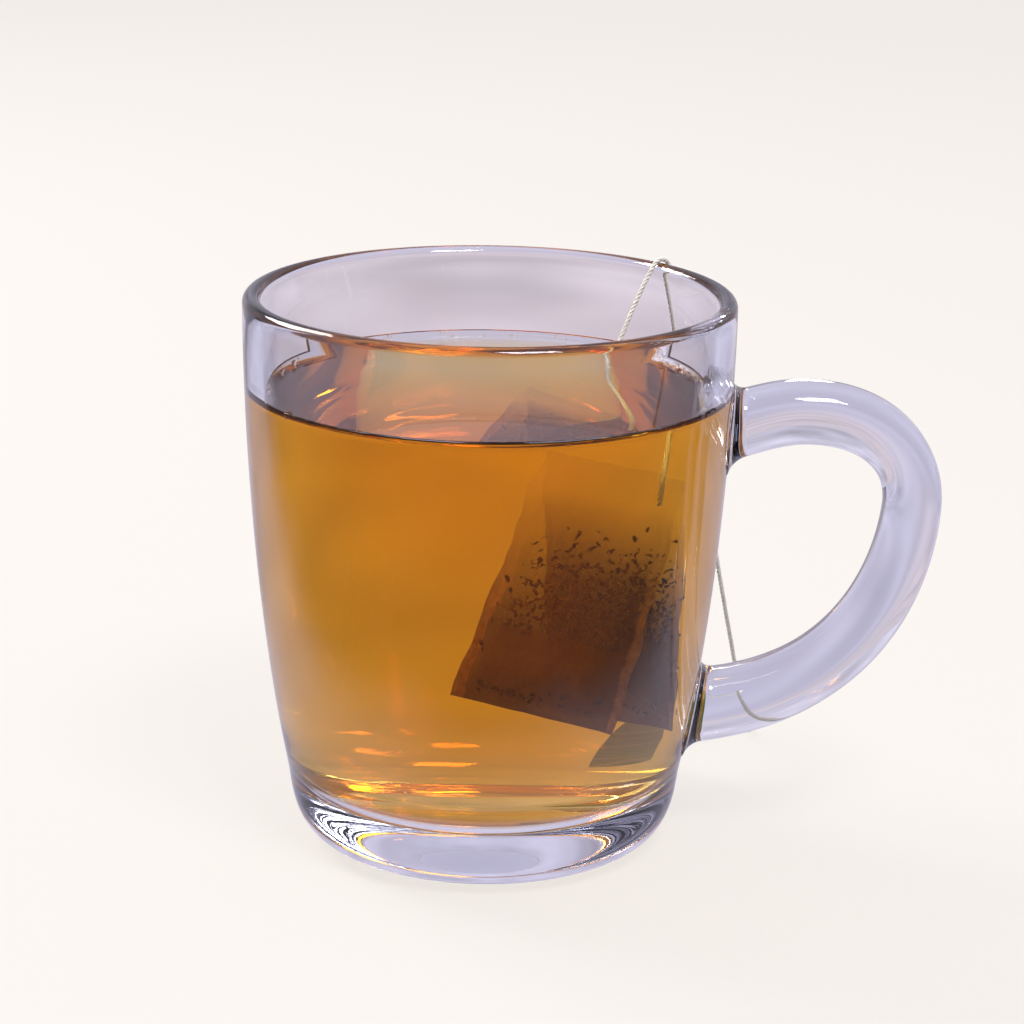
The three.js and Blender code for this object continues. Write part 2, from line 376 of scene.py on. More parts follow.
def bumpFrom(tree, height, strength, distance):
    node = addNode(tree, "ShaderNodeBump")
    node.inputs["Strength"].default_value = strength
    node.inputs["Distance"].default_value = distance
    feed(tree, node.inputs["Height"], height)
    return node.outputs["Normal"]


def absorption(tree, output, colour, density):
    node = addNode(tree, "ShaderNodeVolumeAbsorption")
    node.inputs["Color"].default_value = (*colour, 1)
    node.inputs["Density"].default_value = density
    tree.links.new(node.outputs[0], output.inputs["Volume"])
    return node.outputs[0]


def clearGlass():
    # pressed glass: slight waves in the wall and a cool tint where it is thick
    material, tree, shader, output = newMaterial("clearGlass")
    shader.inputs["Base Color"].default_value = (0.98, 0.98, 1.0, 1)
    shader.inputs["IOR"].default_value = 1.5
    shader.inputs["Transmission Weight"].default_value = 1.0
    shader.inputs["Roughness"].default_value = 0.0
    feed(tree, shader.inputs["Normal"], bumpFrom(tree, noiseOf(tree, 60, 0.0), 0.2, 0.001))
    absorption(tree, output, (0.72, 0.74, 0.88), 9.0)
    return material


def brewedTea():
    material, tree, shader, output = newMaterial("brewedTea")
    shader.inputs["Base Color"].default_value = (1, 1, 1, 1)
    shader.inputs["IOR"].default_value = 1.333
    shader.inputs["Transmission Weight"].default_value = 1.0
    shader.inputs["Roughness"].default_value = 0.0
    feed(tree, shader.inputs["Normal"], bumpFrom(tree, noiseOf(tree, 30, 0.0), 0.03, 0.001))
    clear = absorption(tree, output, (0.976, 0.788, 0.05), 75.0)
    paintedGlow = addNode(tree, "ShaderNodeEmission")  # painted glow: the tea's volume gives off a little orange light of its own
    paintedGlow.inputs["Color"].default_value = (1.0, 0.42, 0.08, 1)
    paintedGlow.inputs["Strength"].default_value = 0.8
    both = addNode(tree, "ShaderNodeAddShader")
    tree.links.new(clear, both.inputs[0])
    tree.links.new(paintedGlow.outputs[0], both.inputs[1])
    tree.links.new(both.outputs[0], output.inputs["Volume"])
    return material


def cottonThread():
    material, tree, shader, _ = newMaterial("cottonThread")
    fibre = noiseOf(tree, 2600, 4)
    tones = [(0.3, (0.74, 0.68, 0.57)), (0.7, (0.95, 0.91, 0.83))]
    feed(tree, shader.inputs["Base Color"], ramp(tree, fibre, tones))
    feed(tree, shader.inputs["Roughness"], scaled(tree, fibre, 0.8, 1.0))
    feed(tree, shader.inputs["Normal"], bumpFrom(tree, fibre, 0.6, 0.0002))
    shader.inputs["Sheen Weight"].default_value = 0.3
    return material


def wetPaper():
    # filter paper soaked in tea, thin enough for the leaves to show
    material, tree, shader, _ = newMaterial("wetFilterPaper")
    fibre = noiseOf(tree, 900, 5)
    height = addNode(tree, "ShaderNodeSeparateXYZ")
    feed(tree, height.inputs[0], objectCoords(tree))
    thin = addNode(tree, "ShaderNodeMapRange")  # paler towards the empty top
    feed(tree, thin.inputs["Value"], height.outputs["Z"])
    for label, value in (("From Min", 0.034), ("From Max", 0.060), ("To Min", 1.0), ("To Max", 0.05)):
        thin.inputs[label].default_value = value
    body = scaled(tree, fibre, 0.7, 0.95)
    feed(tree, shader.inputs["Alpha"], calc(tree, "MULTIPLY", body, thin.outputs["Result"]))
    seam = addNode(tree, "ShaderNodeAttribute", attribute_name="seam").outputs["Fac"]
    pale = calc(tree, "SUBTRACT", calc(tree, "ADD", fibre, seam), thin.outputs["Result"])
    tone = ramp(tree, pale, [(0.0, (0.19, 0.095, 0.035)), (0.8, (0.5, 0.3, 0.12))])
    feed(tree, shader.inputs["Base Color"], tone)
    feed(tree, shader.inputs["Normal"], bumpFrom(tree, fibre, 0.4, 0.0003))
    shader.inputs["Roughness"].default_value = 0.7
    return material


def wetLeaf():
    material, tree, shader, _ = newMaterial("wetTeaLeaf")
    mottle = noiseOf(tree, 420, 3)
    tones = [(0.35, (0.05, 0.024, 0.008)), (0.7, (0.15, 0.07, 0.022))]
    feed(tree, shader.inputs["Base Color"], ramp(tree, mottle, tones))
    feed(tree, shader.inputs["Roughness"], scaled(tree, mottle, 0.35, 0.7))
    return material


def teaBubble():
    material, tree, shader, _ = newMaterial("teaBubble")
    shader.inputs["Base Color"].default_value = (1.0, 0.93, 0.8, 1)
    shader.inputs["IOR"].default_value = 1.2
    shader.inputs["Transmission Weight"].default_value = 1.0
    feed(tree, shader.inputs["Roughness"], scaled(tree, noiseOf(tree, 900), 0.0, 0.03))
    return material


# string: up out of the tea, over the rim, down to the table and round to the tag
stringSet = {
    "diameter": 0.8 * mm,
    "plies": 3,
    "lay": 2.6 * mm,
    "azimuth": math.radians(41.3),
    "entry": (27.2, 75.6),  # radius and height where it leaves the tea
    "mid": (31.8, 84.3),
    "overRim": 2.15,  # bend over the rim
    "slant": [(44.6, 79.5), (49.9, 57.6), (55.1, 35.7), (60.9, 14.4), (62.7, 7.6), (63.9, 2.8), (64.6, 1.0)],
    "landing": 65.2,
    "lie": 0.55,
    "turnRadius": 1.8,
}

tagSet = {
    "tip": (7.05, 37.6, 2.3),
    "azimuth": math.radians(68),  # side of the mug that it leans on
    "lean": math.radians(88),
    "rise": math.radians(38),  # stem end above the tip
    "length": 32.0,
    "width": 22.0,
    "thickness": 0.5,
    "hole": 1.3,
    "holeInset": 4.5,
    "curl": 0.9,  # how far the edges lift
}

mugSet = {
    "height": 92.0,
    "rimRadius": 40.0,
    "rimWall": 3.0,
    "hollow": 2.4,  # rise of the underside at its middle
    "hollowRadius": 22.0,
    "baseRadius": 24.8,
    "heelRadius": 33.1,
    "heelHeight": 12.0,
    "heelSlope": 0.2,
    "heelEase": 7.8,
    "heelLift": 3.3,
    "wallEase": 25.0,
    "rimEase": 23.0,
    "floor": 9.0,
    "floorRadius": 19.0,
    "innerRadius": 30.6,
    "innerHeight": 18.0,
    "segments": 288,
}


def tagAxes():
    # along from stem to tip, across, and out of the face
    t = tagSet
    side = Vector((math.sin(t["azimuth"]), -math.cos(t["azimuth"]), 0))
    out = Vector((math.cos(t["azimuth"]), math.sin(t["azimuth"]), 0))
    up = Vector((0, 0, math.sin(t["lean"]))) - out * math.cos(t["lean"])
    along = -(side * math.cos(t["rise"]) + up * math.sin(t["rise"]))
    across = up * math.cos(t["rise"]) - side * math.sin(t["rise"])
    return along, across, along.cross(across), out


def tagPlace(along, across, height):
    axes = tagAxes()
    spot = Vector(tagSet["tip"]) + axes[0] * (along - tagSet["length"])
    return (spot + axes[1] * across + axes[2] * height) * mm


def stringRoute():
    s = stringSet
    out = Vector((math.cos(s["azimuth"]), math.sin(s["azimuth"]), 0))

    def place(radius, height):
        return (out * radius + Vector((0, 0, height))) * mm

    rimMiddle = mugSet["rimRadius"] - mugSet["rimWall"] / 2
    rimHeight = mugSet["height"] - mugSet["rimWall"] / 2
    points = [place(*s["entry"]), place(*s["mid"])]
    for i in range(6):
        angle = math.radians(146 - 25.4 * i)
        bend = s["overRim"] * math.cos(angle), s["overRim"] * math.sin(angle)
        points.append(place(rimMiddle + bend[0], rimHeight + bend[1]))
    points += [place(*spot) for spot in s["slant"]]
    middle = place(s["landing"], s["lie"]) + Vector((-out.y, out.x, 0)) * s["turnRadius"] * mm
    for i in range(6):
        angle = s["azimuth"] - math.pi / 2 + math.radians(30 * i)
        points.append(middle + Vector((math.cos(angle), math.sin(angle), 0)) * s["turnRadius"] * mm)
    over = tagSet["thickness"] + s["diameter"] / mm / 2 + 0.1
    eye = tagPlace(tagSet["holeInset"], 0, over)
    foot = eye + tagAxes()[3] * (eye.z / math.tan(tagSet["lean"]) + 2.5 * mm)
    foot.z = s["lie"] * mm
    low = points[-1].lerp(foot, 0.5)
    way = smoothRoute([*points, low, foot, eye], 0.4 * mm)
    for spot in way:
        spot.z = max(spot.z, s["lie"] * mm)  # none of it under the table
    return way


def makeString(name, route, finish):
    radius = stringSet["diameter"] / 2
    return runTree(name, polyline(name, route), twistTree(stringSet["plies"]), {
        "Strand radius": radius * 0.56, "Spread": radius * 0.5, "Lay": stringSet["lay"], "Step": 0.3 * mm,
        "Sides": 7, "Finish": finish,
    })


thread = cottonThread()
route = stringRoute()
stringPiece = makeString("teaString", route, thread)
print("string", round(routeLength(route) / mm), "mm long")


# tag: a leaf of green card that leans on the mug
def greenCard():
    material, tree, shader, _ = newMaterial("greenCard")
    grain = noiseOf(tree, 1500, 4)
    base = ramp(tree, grain, [(0.3, (0.26, 0.48, 0.04)), (0.7, (0.36, 0.60, 0.08))])
    # veins: along and across measured from the stem
    place = addNode(tree, "ShaderNodeMapping", vector_type="TEXTURE")
    turn = Matrix(tagAxes()[:3]).transposed()
    place.inputs["Location"].default_value = tagPlace(0, 0, 0)
    place.inputs["Rotation"].default_value = turn.to_euler()
    feed(tree, place.inputs["Vector"], objectCoords(tree))
    parts = addNode(tree, "ShaderNodeSeparateXYZ")
    feed(tree, parts.inputs[0], place.outputs[0])
    across = calc(tree, "ABSOLUTE", parts.outputs["Y"])
    rib = calc(tree, "LESS_THAN", across, 0.35 * mm)
    slope = calc(tree, "SUBTRACT", parts.outputs["X"], calc(tree, "MULTIPLY", across, 1.1))
    wave = calc(tree, "FRACT", calc(tree, "DIVIDE", slope, 5.0 * mm))
    vein = calc(tree, "LESS_THAN", calc(tree, "ABSOLUTE", calc(tree, "SUBTRACT", wave, 0.5)), 0.04)
    lines = calc(tree, "MAXIMUM", rib, vein)
    blend = addNode(tree, "ShaderNodeMix", data_type="RGBA")
    feed(tree, blend.inputs["Factor"], calc(tree, "MULTIPLY", lines, 0.55))
    feed(tree, blend.inputs["A"], base)
    blend.inputs["B"].default_value = (0.6, 0.75, 0.3, 1)
    feed(tree, shader.inputs["Base Color"], blend.outputs["Result"])
    feed(tree, shader.inputs["Roughness"], scaled(tree, grain, 0.5, 0.75))
    feed(tree, shader.inputs["Normal"], bumpFrom(tree, grain, 0.25, 0.0002))
    return material


def leafHalfWidth(share):
    # follows the outline's two pulls from stem to tip
    half = tagSet["width"] / 2
    rest = 1 - share
    return 2.2 * rest ** 3 + 2.85 * half * rest ** 2 * share + 4.05 * half * rest * share ** 2


def leafAlong(share):
    length = tagSet["length"]
    return 12 * (1 - share) ** 2 * share + 3 * length * 0.42 * (1 - share) * share ** 2 + length * share ** 3


def makeTag(finish):
    rows, columns = 48, 16
    points = []
    for top in (True, False):
        for i in range(rows + 1):
            share = i / rows
            along, half = leafAlong(share), leafHalfWidth(share)
            for k in range(-columns, columns + 1):
                across = half * k / columns
                lift = tagSet["curl"] * (2 * abs(across) / tagSet["width"]) ** 2
                lift += 5 * max(0.0, share - 0.7) ** 2
                height = lift + (tagSet["thickness"] if top else 0.0)
                points.append(tagPlace(along, across, height))
    wide = 2 * columns + 1
    size = wide * (rows + 1)
    faces = []
    for i in range(rows):
        for k in range(2 * columns):
            a = i * wide + k
            b, c, d = a + 1, a + wide + 1, a + wide
            faces.append((a, d, c, b))
            faces.append((size + a, size + b, size + c, size + d))
    for i in range(rows):
        for k in (0, 2 * columns):
            a, d = i * wide + k, (i + 1) * wide + k
            edge = (a, size + a, size + d, d)
            faces.append(edge if k == 0 else edge[::-1])
    for k in range(2 * columns):
        faces.append((k, k + 1, size + k + 1, size + k))
    mesh = meshFrom("leafTag", points, faces)
    shape = bmesh.new()
    shape.from_mesh(mesh)
    bmesh.ops.remove_doubles(shape, verts=shape.verts, dist=0.01 * mm)
    shape.to_mesh(mesh)
    shape.free()
    return combined("leafTag", addPiece("leafCard", mesh), holePunch(), "DIFFERENCE", finish, False)


def holePunch():
    steps = 32
    points = []
    for height in (-4, 6):
        for i in range(steps):
            angle = 2 * math.pi * i / steps
            along = tagSet["holeInset"] + tagSet["hole"] * math.cos(angle)
            points.append(tagPlace(along, tagSet["hole"] * math.sin(angle), height))
    faces = [(i, (i + 1) % steps, steps + (i + 1) % steps, steps + i) for i in range(steps)]
    faces += [tuple(reversed(range(steps))), tuple(range(steps, 2 * steps))]
    return addPiece("holePunch", meshFrom("holePunch", points, faces))


def makeKnot(place, finish):
    mesh = ballMesh("tagKnot", 1.2 * mm, 4)
    for vertex in mesh.vertices:
        winding = 1 + 0.22 * math.sin(vertex.co.z / mm * 7 + math.atan2(vertex.co.y, vertex.co.x))
        vertex.co = place + vertex.co * winding
    mesh.materials.append(finish)
    mesh.polygons.foreach_set("use_smooth", [True] * len(mesh.polygons))
    return addPiece("tagKnot", mesh)


tagPiece = makeTag(greenCard())
knotPiece = makeKnot(route[-1], thread)
print("tag leant on the mug")


# glass mug: turned body joined with a swept handle
def outerProfile(heelSteps, wallSteps):
    m = mugSet
    top = m["height"] - m["rimWall"] / 2
    heelJoin = (m["heelRadius"], m["heelHeight"])
    heel = bezier(
        (m["baseRadius"], 0),
        (m["baseRadius"] + m["heelEase"], 0),
        (m["heelRadius"] - m["heelSlope"] * m["heelLift"], m["heelHeight"] - m["heelLift"]),
        heelJoin,
        heelSteps,
    )
    wall = bezier(
        heelJoin,
        (m["heelRadius"] + m["heelSlope"] * m["wallEase"], m["heelHeight"] + m["wallEase"]),
        (m["rimRadius"], top - m["rimEase"]),
        (m["rimRadius"], top),
        wallSteps,
    )
    shares = [i / 12 for i in range(13)]
    under = [Vector((m["hollowRadius"] * t, m["hollow"] * (1 - t * t))) for t in shares]
    return [*under, *heel, *wall[1:]]


def innerProfile(cornerSteps, wallSteps):
    m = mugSet
    top = m["height"] - m["rimWall"] / 2
    inner = m["rimRadius"] - m["rimWall"]
    cornerJoin = (m["innerRadius"], m["innerHeight"])
    corner = bezier(
        (m["floorRadius"], m["floor"]),
        (m["floorRadius"] + 6.5, m["floor"]),
        (m["innerRadius"] - 1.4, m["innerHeight"] - 6.5),
        cornerJoin,
        cornerSteps,
    )
    wall = bezier(
        cornerJoin,
        (m["innerRadius"] + 3.4, m["innerHeight"] + 16),
        (inner, top - m["rimEase"]),
        (inner, top),
        wallSteps,
    )
    return [Vector((0, m["floor"])), Vector((m["floorRadius"] * 0.5, m["floor"])), *corner, *wall[1:]]


def rimProfile(steps):
    radius = mugSet["rimWall"] / 2
    middle = Vector((mugSet["rimRadius"] - radius, mugSet["height"] - radius))
    turns = [math.pi * i / steps for i in range(1, steps)]
    return [middle + Vector((math.cos(a), math.sin(a))) * radius for a in turns]


outerWall = outerProfile(24, 40)


def radiusAt(height):
    for low, high in zip(outerWall, outerWall[1:]):
        if low.y < height <= high.y:
            return low.x + (high.x - low.x) * (height - low.y) / (high.y - low.y)
    return mugSet["rimRadius"]


def turnProfile(name, profile, finish):
    points = [Vector((p.x, 0, p.y)) * mm for p in profile]
    return runTree(name, polyline(name, points), turnedTree(), {
        "Segments": mugSet["segments"], "Points": len(points), "Finish": finish,
    })


handleSet = {
    "bury": 1.9,
    "topHeight": 69.6,
    "topSlope": 0.3,
    "crest": (51.8, 72.9),
    "outermost": (70.1, 57.9),
    "lowHeight": 21.4,
    "lowSlope": 0.07,
    "thickness": [(0, 10.4), (0.2, 10.1), (0.42, 9.4), (0.76, 10.3), (1, 12.0)],
    "depth": 12.0,
    "fillet": 2.8,
    "squareness": 2.7,
    "rings": 170,
    "crowding": 0.8,
    "sides": 72,
}


def handleLine():
    h = handleSet
    topX = radiusAt(h["topHeight"]) - h["bury"]
    lowX = radiusAt(h["lowHeight"]) - h["bury"]
    cx, cz = h["crest"]
    ox, oz = h["outermost"]
    steps = 120
    topPull = (topX + 5, h["topHeight"] + 5 * h["topSlope"])
    lowPull = (lowX + 36.1, h["lowHeight"] + 36.1 * h["lowSlope"])
    line = bezier((topX, h["topHeight"]), topPull, (cx - 4.5, cz), (cx, cz), steps)
    line += bezier((cx, cz), (cx + 12.7, cz), (ox, oz + 7.4), (ox, oz), steps)[1:]
    line += bezier((ox, oz), (ox, oz - 2.5), lowPull, (lowX, h["lowHeight"]), steps)[1:]
    return line


def spotOn(line, lengths, share):
    # point and heading at a share of the line's length
    target = share * lengths[-1]
    i = 1
    while i < len(line) - 1 and lengths[i] < target:
        i += 1
    t = (target - lengths[i - 1]) / (lengths[i] - lengths[i - 1])
    before, after = line[max(0, i - 2)], line[min(len(line) - 1, i + 1)]
    return line[i - 1].lerp(line[i], t), (after - before).normalized()


def tableValue(table, share):
    for (s0, v0), (s1, v1) in zip(table, table[1:]):
        if share <= s1:
            return v0 + (v1 - v0) * (share - s0) / (s1 - s0)
    return table[-1][1]


def squircle(angle, half):
    c = math.cos(angle)
    return math.copysign(half * abs(c) ** (2 / handleSet["squareness"]), c)


def makeHandle():
    h = handleSet
    line = handleLine()
    lengths = [0.0]
    for a, b in zip(line, line[1:]):
        lengths.append(lengths[-1] + (b - a).length)
    points = []
    for i in range(h["rings"] + 1):
        even = i / h["rings"]
        share = even - h["crowding"] * math.sin(2 * math.pi * even) / (2 * math.pi)
        centre, heading = spotOn(line, lengths, share)
        clear = centre.x - radiusAt(centre.y)
        ease = min(1.0, max(0.0, clear / 7))
        nearWall = 1 - ease * ease * (3 - 2 * ease)
        across = Vector((-heading.y, heading.x))
        lean = (radiusAt(centre.y + 1) - radiusAt(centre.y - 1)) / 2
        wallway = Vector((lean, 1)).normalized()
        if wallway.dot(across) < 0:
            wallway.negate()
        side = across.lerp(wallway, nearWall).normalized()
        halfThick = tableValue(h["thickness"], share) / 2 / side.dot(across)
        for k in range(h["sides"]):
            angle = 2 * math.pi * (k + 0.5) / h["sides"]
            up, deep = squircle(angle, halfThick), squircle(angle - math.pi / 2, h["depth"] / 2)
            arm = Vector((side.x * up, deep, side.y * up))
            spot = arm + Vector((centre.x, 0, centre.y))
            # swell by the fillet close to the wall
            reach = 0.985 * max(0.0, h["fillet"] - max(0.0, math.hypot(spot.x, spot.y) - radiusAt(spot.z)))
            swell = h["fillet"] - math.sqrt(h["fillet"] ** 2 - reach ** 2)
            points.append((arm * (1 + swell / arm.length) + Vector((centre.x, 0, centre.y))) * mm)
    sides = h["sides"]
    faces = []
    for i in range(h["rings"]):
        for k in range(sides):
            a, b = i * sides + k, i * sides + (k + 1) % sides
            faces.append((a, a + sides, b + sides, b))
    last = h["rings"] * sides
    faces.append(tuple(range(sides)))
    faces.append(tuple(last + k for k in reversed(range(sides))))
    return addPiece("handleBar", meshFrom("handleBar", points, faces))


def makeMug(finish):
    profile = [*outerWall, *rimProfile(18), *reversed(innerProfile(20, 30))]
    body = turnProfile("mugBody", profile, finish)
    return combined("glassMug", body, makeHandle(), "UNION", finish, True)


mugPiece = makeMug(clearGlass())
print("mug", len(mugPiece.data.polygons), "faces")


# tea: reaches just into the glass so that no air shows between them
teaSet = {
    "level": 76.0,
    "rise": 1.3,  # climb at the wall
    "climb": 2.8,  # width of the climb
    "overlap": 0.25,
}


def makeTea(finish):
    t = teaSet
    inside = innerProfile(20, 60)
    contact = t["level"] + t["rise"]
    profile = []
    for i, p in enumerate(inside):
        if p.y >= contact:
            break
        before, after = inside[max(0, i - 1)], inside[i + 1]
        way = (after - before).normalized()
        radius = max(0.0, p.x + way.y * t["overlap"]) if i else 0.0
        profile.append(Vector((radius, p.y - way.x * t["overlap"])))
    edge = mugSet["rimRadius"] - mugSet["rimWall"] + t["overlap"]
    steps = 16
    for i in range(steps + 1):
        inward = i / steps
        radius = edge - (t["climb"] + t["overlap"]) * inward
        profile.append(Vector((radius, t["level"] + t["rise"] * (1 - inward) ** 2.6)))
    profile += [Vector((edge * share, t["level"])) for share in (0.6, 0.3, 0.0)]
    return turnProfile("brewedTea", profile, finish)


teaPiece = makeTea(brewedTea())
print("tea poured")


# tea bag, sunk: two paper chambers that hang apart from one top edge
bagSet = {
    "topBack": (6.4, 12.0, 66.5),
    "topFront": (28.0, -14.0, 65.5),
    "lowBack": (-3.9, 12.0, 25.0),
    "lowFront": (17.8, -14.0, 23.8),
    "farLowBack": (7.0, 16.0, 21.5),
    "farLowFront": (27.0, -8.0, 21.5),
    "plump": 3.0,  # half the thickness where a chamber is full
    "leafDensity": 2200000.0,
    "leafHeights": (34.0, 54.0),  # dense below, none above
    "leafSizes": (0.22, 0.6),
    "seed": 11,
}


def chamberPoint(corners, across, up):
    lowBack, lowFront, topBack, topFront = corners
    return lowBack.lerp(lowFront, across).lerp(topBack.lerp(topFront, across), up)


def chamberCorners(low):
    b = bagSet
    keys = ("lowBack", "lowFront") if low == "near" else ("farLowBack", "farLowFront")
    return [Vector(b[key]) for key in (*keys, "topBack", "topFront")]


def chamberNormal(corners):
    return (corners[1] - corners[0]).cross(corners[2] - corners[0]).normalized()


def plumpness(across, up):
    # full near the bottom, flat at the sealed edges
    edge = min(across, 1 - across, up * 1.3)
    rim = min(1.0, max(0.0, (edge - 0.05) / 0.22))
    return bagSet["plump"] * math.sin(rim * math.pi / 2) * (1 - up) ** 0.7


def makeChamber(name, low, finish):
    corners = chamberCorners(low)
    normal = chamberNormal(corners)
    wide, tall = 36, 44
    points, seam = [], []
    for face in (1, -1):
        for j in range(tall + 1):
            for i in range(wide + 1):
                across, up = i / wide, j / tall
                seam.append(1.0 if min(across, 1 - across) < 0.06 else 0.0)
                spot = chamberPoint(corners, across, up)
                crease = noise.noise(spot * 0.16) * 1.2 + noise.noise(spot * 0.5) * 0.35
                puff = face * (plumpness(across, up) + 0.06)
                points.append((spot + normal * (puff + crease * (0.4 + 0.6 * up))) * mm)
    row, size = wide + 1, (wide + 1) * (tall + 1)
    faces = []
    for j in range(tall):
        for i in range(wide):
            a = j * row + i
            faces.append((a, a + 1, a + row + 1, a + row))
            faces.append((size + a, size + a + row, size + a + row + 1, size + a + 1))
    border = [i for i in range(row)] + [j * row + wide for j in range(1, tall + 1)]
    border += [tall * row + i for i in reversed(range(wide))] + [j * row for j in reversed(range(1, tall))]
    for a, b in zip(border, border[1:] + border[:1]):
        faces.append((b, a, size + a, size + b))
    mesh = meshFrom(name, points, faces)
    mesh.attributes.new("seam", "FLOAT", "POINT").data.foreach_set("value", seam)
    mesh.materials.append(finish)
    mesh.polygons.foreach_set("use_smooth", [True] * len(mesh.polygons))
    return addPiece(name, mesh)


def leafFlake():
    # a small curled strip
    points = []
    for i in range(4):
        x = (i / 3 - 0.5) * 2.0
        width = 0.5 * math.sin(math.pi * (0.15 + 0.7 * i / 3))
        lift = 0.35 * math.cos(i * 1.7)
        points += [(x, -width, lift), (x, width, lift + 0.2)]
    faces = [(2 * i, 2 * i + 2, 2 * i + 3, 2 * i + 1) for i in range(3)]
    holder = addPiece("leafFlake", meshFrom("leafFlake", points, faces))
    thick = holder.modifiers.new("thick", "SOLIDIFY")
    thick.thickness = 0.18
    return holder


def makeLeaves(name, low, finish, seed):
    corners = chamberCorners(low)
    wide, tall = 10, 10
    points, faces = [], []
    for j in range(tall + 1):
        for i in range(wide + 1):
            across, up = 0.1 + 0.8 * i / wide, 0.05 + 0.8 * j / tall
            points.append(chamberPoint(corners, across, up) * mm)
    for j in range(tall):
        for i in range(wide):
            a = j * (wide + 1) + i
            faces.append((a, a + 1, a + wide + 2, a + wide + 1))
    flake = leafFlake()
    full, none = bagSet["leafHeights"]
    smallest, largest = bagSet["leafSizes"]
    leaves = runTree(name, meshFrom(name, points, faces), scatterTree(), {
        "Bit": flake, "Density": bagSet["leafDensity"], "Spread": bagSet["plump"] * 0.6 * mm,
        "Full below": full * mm, "None above": none * mm,
        "Smallest": smallest * mm, "Largest": largest * mm, "Seed": seed, "Finish": finish,
    })
    bpy.data.objects.remove(flake)
    return leaves


paper, leafFinish = wetPaper(), wetLeaf()
bagPieces = [
    makeChamber("bagNearSide", "near", paper),
    makeChamber("bagFarSide", "far", paper),
    makeLeaves("leavesNearSide", "near", leafFinish, bagSet["seed"]),
    makeLeaves("leavesFarSide", "far", leafFinish, bagSet["seed"] + 3),
]

sunkRoute = smoothRoute([
    route[0],
    Vector((20.2, 11.0, 72.6)) * mm,
    Vector((21.9, 1.0, 69.0)) * mm,
    Vector((23.0, -8.0, 65.8)) * mm,
    Vector((22.6, -8.4, 61.0)) * mm,
], 0.4 * mm)
bagPieces.append(makeString("sunkString", sunkRoute, thread))
print("tea bag sunk, leaves", sum(len(p.data.polygons) for p in bagPieces))


# bubbles along the edge of the tea
bubbleSet = {
    "radius": 36.55,
    "height": 77.0,
    "band": 1.0,
    "density": 160000.0,
    "sizes": (0.18, 0.55),
    "seed": 5,
}


def makeBubbles(finish):
    b = bubbleSet
    steps = 96
    points, faces = [], []
    for i in range(steps):
        angle = 2 * math.pi * i / steps
        for radius, height in ((b["radius"], b["height"]), (b["radius"] - b["band"], b["height"] - 0.6)):
            points.append(Vector((radius * math.cos(angle), radius * math.sin(angle), height)) * mm)
    for i in range(steps):
        a, c = 2 * i, 2 * ((i + 1) % steps)
        faces.append((a, c, c + 1, a + 1))
    bit = addPiece("bubbleBall", ballMesh("bubbleBall", 1.0, 2))
    bubbles = runTree("teaBubbles", meshFrom("teaBubbles", points, faces), scatterTree(), {
        "Bit": bit, "Density": b["density"], "Spread": 0.0,
        "Full below": 90 * mm, "None above": 100 * mm,
        "Smallest": b["sizes"][0] * mm, "Largest": b["sizes"][1] * mm,
        "Seed": b["seed"], "Finish": finish,
    })
    bpy.data.objects.remove(bit)
    return bubbles


bubblePiece = makeBubbles(teaBubble())
print("bubbles", len(bubblePiece.data.polygons))


# stage: pale floor and soft light, a shade cooler to everything but the camera
stageSet = {
    "seen": (0.955, 0.913, 0.862),
    # the next three are colours of the floor's painted glow for every ray but the camera's; the darkest is
    # painted shade towards the camera
    "cool": (0.57, 0.55, 0.70),
    "rosy": (0.66, 0.59, 0.66),
    "paintedShade": (0.09, 0.08, 0.095),
    "fade": (-0.085, 0.42),
    "drop": -0.4 * mm,
    "room": 1.0,
}


def cameraRay(tree):
    return addNode(tree, "ShaderNodeLightPath").outputs["Is Camera Ray"]


def makeFloor():
    material = bpy.data.materials.new("paleFloor")
    material.use_nodes = True
    tree = material.node_tree
    tree.nodes.clear()
    output = addNode(tree, "ShaderNodeOutputMaterial")
    # what the glass mirrors and bends: to every ray but the camera's the floor is a painted glow in patches,
    # bright behind, with painted shade dimming it towards the camera
    depth = addNode(tree, "ShaderNodeSeparateXYZ")
    feed(tree, depth.inputs[0], objectCoords(tree))
    sideways = calc(tree, "ABSOLUTE", depth.outputs["X"])
    aside = calc(tree, "MAXIMUM", calc(tree, "SUBTRACT", sideways, 0.05), 0.0)
    fade = addNode(tree, "ShaderNodeMapRange")
    feed(tree, fade.inputs["Value"], calc(tree, "SUBTRACT", depth.outputs["Y"], aside))
    fade.inputs["From Min"].default_value, fade.inputs["From Max"].default_value = stageSet["fade"]
    cool = addNode(tree, "ShaderNodeEmission")
    cooler = stageSet["cool"]
    stops = [(0.0, stageSet["paintedShade"]), (0.09, cooler), (0.45, cooler), (0.7, stageSet["rosy"])]
    patches = scaled(tree, noiseOf(tree, 13, 1.0), 0.65, 1.45)
    feed(tree, cool.inputs["Color"], ramp(tree, fade.outputs["Result"], stops))
    feed(tree, cool.inputs["Strength"], patches)
    warm = addNode(tree, "ShaderNodeBsdfDiffuse")
    warm.inputs["Color"].default_value = (*stageSet["seen"], 1)
    glow = addNode(tree, "ShaderNodeEmission")
    glow.inputs["Color"].default_value = (*stageSet["seen"], 1)
    glow.inputs["Strength"].default_value = 0.94
    seen = addNode(tree, "ShaderNodeMixShader")
    seen.inputs[0].default_value = 0.87
    tree.links.new(warm.outputs[0], seen.inputs[1])
    tree.links.new(glow.outputs[0], seen.inputs[2])
    pick = addNode(tree, "ShaderNodeMixShader")
    tree.links.new(cameraRay(tree), pick.inputs[0])
    tree.links.new(cool.outputs[0], pick.inputs[1])
    tree.links.new(seen.outputs[0], pick.inputs[2])
    tree.links.new(pick.outputs[0], output.inputs["Surface"])
    half = 3.0
    corners = [(-half, -half), (half, -half), (half, half), (-half, half)]
    mesh = meshFrom("paleFloor", [(x, y, stageSet["drop"]) for x, y in corners], [(0, 1, 2, 3)])
    mesh.materials.append(material)
    floor = addPiece("paleFloor", mesh)


